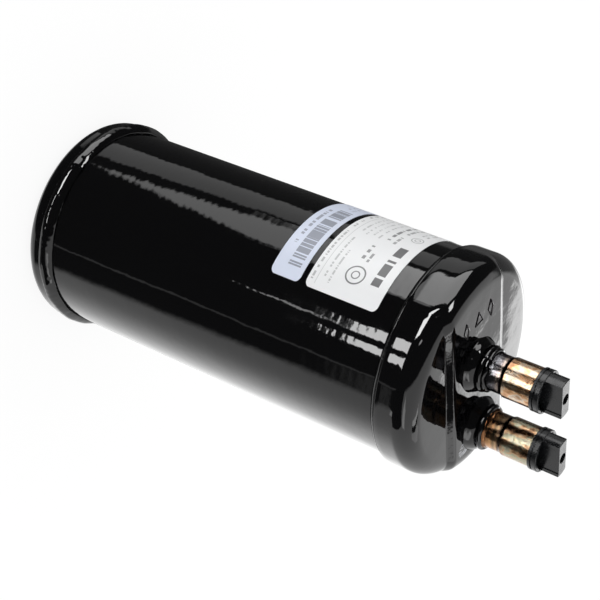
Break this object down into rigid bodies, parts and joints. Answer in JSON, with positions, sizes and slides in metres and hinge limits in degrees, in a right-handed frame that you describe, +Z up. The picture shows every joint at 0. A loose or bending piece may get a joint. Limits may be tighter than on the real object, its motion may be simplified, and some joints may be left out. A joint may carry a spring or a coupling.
{
  "type": "suction line accumulator",
  "caption": "Welded steel suction line accumulator with copper inlet and outlet stubs, transit plugs, an inner U-tube and an oil pickup.",
  "frame": {"origin": "centre of the vessel's flat lower end, on the resting plane", "axes": "+Z up along the vessel's axis towards the stubs; the stubs lie on the Y axis, the outlet on the -Y side; labels face -X and +Y"},
  "size_m": [0.1356, 0.1356, 0.3426],
  "materials": {
    "black_paint": "gloss black paint on steel",
    "black_paint_rough": "gloss black paint over a rippled weld",
    "copper": "bare copper tube, heat-tinted by brazing",
    "braze_alloy": "silver braze filler, part painted",
    "black_rubber": "satin black rubber",
    "bare_steel": "bare mild steel",
    "brass": "turned brass",
    "white_label": "printed polyester film",
    "pale_label": "printed polyester film"
  },
  "bodies": {
    "vessel": {"shell": "black_paint", "bottom_cap": "black_paint", "top_cap": "black_paint", "bottom_weld": "black_paint_rough", "top_weld": "black_paint_rough", "inlet_sleeve": "black_paint", "outlet_sleeve": "black_paint", "inlet_sleeve_weld": "black_paint_rough", "outlet_sleeve_weld": "black_paint_rough", "inlet_stub": "copper", "outlet_stub": "copper", "inlet_braze_ring": "braze_alloy", "outlet_braze_ring": "braze_alloy", "inlet_diffuser": "bare_steel", "u_tube": "copper", "splash_baffle": "bare_steel", "u_tube_strap": "bare_steel", "oil_pickup": "brass", "oil_screen": "bare_steel", "screen_cap": "brass", "rating_label": "white_label", "barcode_label": "pale_label"},
    "inlet_plug": {"inlet_plug": "black_rubber"},
    "outlet_plug": {"outlet_plug": "black_rubber"}
  },
  "joints": [
    {"name": "inlet_plug_pull", "type": "slide", "parent": "vessel", "child": "inlet_plug", "axis": [0, 0, 1], "range_m": [0, 0.06]},
    {"name": "outlet_plug_pull", "type": "slide", "parent": "vessel", "child": "outlet_plug", "axis": [0, 0, 1], "range_m": [0, 0.06]}
  ]
}
